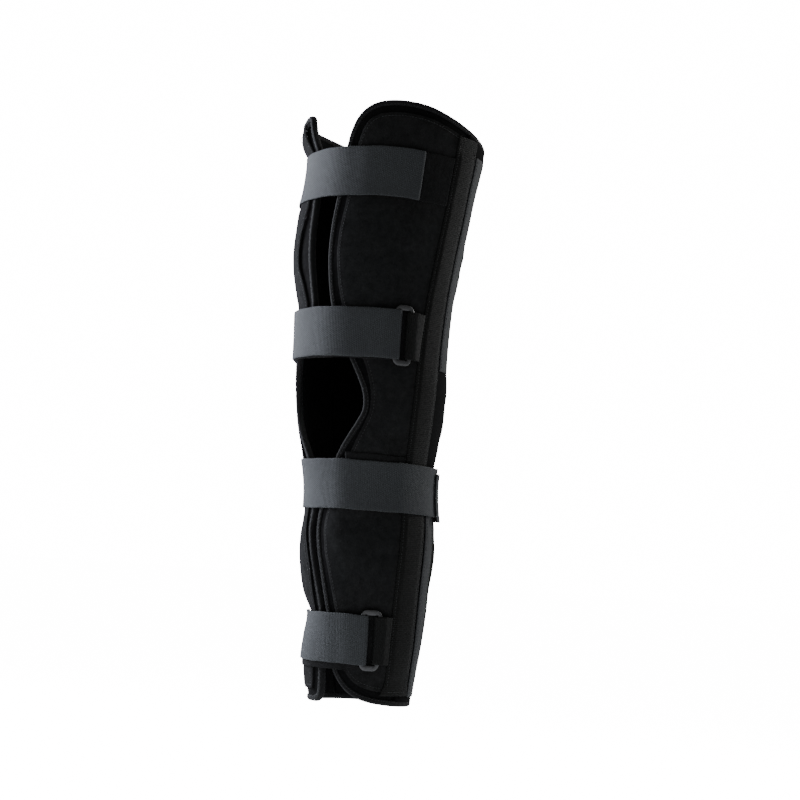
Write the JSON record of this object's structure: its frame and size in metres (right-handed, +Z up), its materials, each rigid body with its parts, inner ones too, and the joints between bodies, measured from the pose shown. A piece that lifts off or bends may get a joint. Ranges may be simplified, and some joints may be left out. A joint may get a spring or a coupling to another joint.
{
  "type": "knee immobilizer",
  "caption": "Wrap-round padded knee splint with side stays in sewn pockets, a kneecap cut-out and webbing straps, for a left leg.",
  "frame": {"origin": "middle of the leg hollow at the knee, where the splint sits on the leg", "axes": "+Z up the leg, front of the leg towards -Y, outer side of the leg towards +X"},
  "size_m": [0.1891, 0.1887, 0.6101],
  "materials": {
    "laminate": "black brushed knit laminated to foam",
    "cover_cloth": "black brushed loop fabric, matt",
    "binding_tape": "black ribbed binding tape",
    "black_webbing": "black webbing with fine cross ribs",
    "grey_webbing": "slate grey fine-ribbed strap backing",
    "rear_strip": "dark grey webbing",
    "loop_cloth": "black loop pile",
    "plastic": "dark grey moulded plastic"
  },
  "bodies": {
    "root": {"wing_lateral": "laminate", "wing_medial": "laminate", "cover_lateral": "cover_cloth", "cover_medial": "cover_cloth", "back_panel": "laminate", "edge_binding": "binding_tape", "stay_pocket_lateral": "black_webbing", "stay_pocket_medial": "black_webbing", "rear_strip_thigh_lateral": "rear_strip", "rear_strip_thigh_medial": "rear_strip", "rear_strip_calf_lateral": "rear_strip", "rear_strip_calf_medial": "rear_strip", "strap_thigh": "grey_webbing", "thigh_patch": "loop_cloth", "strap_above_knee": "grey_webbing", "ring_web_above_knee": "black_webbing", "ring_above_knee": "plastic", "strap_below_knee": "grey_webbing", "below_knee_patch": "loop_cloth", "strap_ankle": "grey_webbing", "ring_web_ankle": "black_webbing", "ring_ankle": "plastic"}
  },
  "joints": []
}
